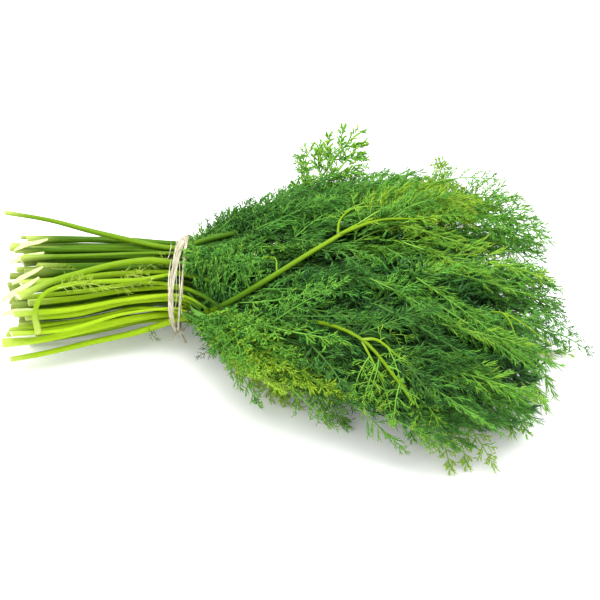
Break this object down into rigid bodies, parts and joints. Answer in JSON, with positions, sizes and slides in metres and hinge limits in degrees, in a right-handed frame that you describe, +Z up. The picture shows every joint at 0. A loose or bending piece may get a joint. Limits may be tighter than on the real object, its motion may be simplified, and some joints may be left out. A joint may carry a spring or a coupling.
{
  "type": "dill bunch",
  "caption": "Bunch of fresh dill lying on its side: bare cut stems held by a raffia tie, fanning out into feathery fronds.",
  "frame": {"origin": "middle of the foot of the bounding box, on the surface that the bunch lies on", "axes": "+X from the cut ends towards the leaf tips, +Z up, +Y to the far side"},
  "size_m": [0.3402, 0.2452, 0.0897],
  "materials": {
    "dill_stem": "satin, juicy",
    "dill_frond": "matte, waxy",
    "raffia": "dry, fibrous"
  },
  "bodies": {
    "root": {"raffia_tie": "raffia", "spray_01": "dill_frond", "spray_02": "dill_frond", "spray_03": "dill_frond", "spray_04": "dill_frond", "spray_05": "dill_frond", "spray_06": "dill_frond", "spray_07": "dill_frond", "spray_08": "dill_frond", "spray_09": "dill_frond", "spray_10": "dill_frond", "spray_11": "dill_frond", "spray_12": "dill_frond", "spray_13": "dill_frond", "spray_14": "dill_frond", "spray_15": "dill_frond", "spray_16": "dill_frond", "spray_17": "dill_frond", "spray_18": "dill_frond", "stem_01": "dill_stem", "stem_02": "dill_stem", "stem_03": "dill_stem", "stem_04": "dill_stem", "stem_05": "dill_stem", "stem_06": "dill_stem", "stem_07": "dill_stem", "stem_08": "dill_stem", "stem_09": "dill_stem", "stem_10": "dill_stem", "stem_11": "dill_stem", "stem_12": "dill_stem", "stem_13": "dill_stem", "stem_14": "dill_stem", "stem_15": "dill_stem", "stem_16": "dill_stem", "stem_17": "dill_stem", "stem_18": "dill_stem", "stem_19": "dill_stem", "stem_20": "dill_stem", "stem_21": "dill_stem", "stem_22": "dill_stem", "stem_23": "dill_stem", "stem_24": "dill_stem", "stem_25": "dill_stem", "stem_26": "dill_stem", "stem_27": "dill_stem", "stem_28": "dill_stem", "stem_29": "dill_stem", "stem_30": "dill_stem", "stem_31": "dill_stem", "stem_32": "dill_stem", "stem_33": "dill_stem", "stem_34": "dill_stem", "stem_35": "dill_stem"}
  },
  "joints": []
}
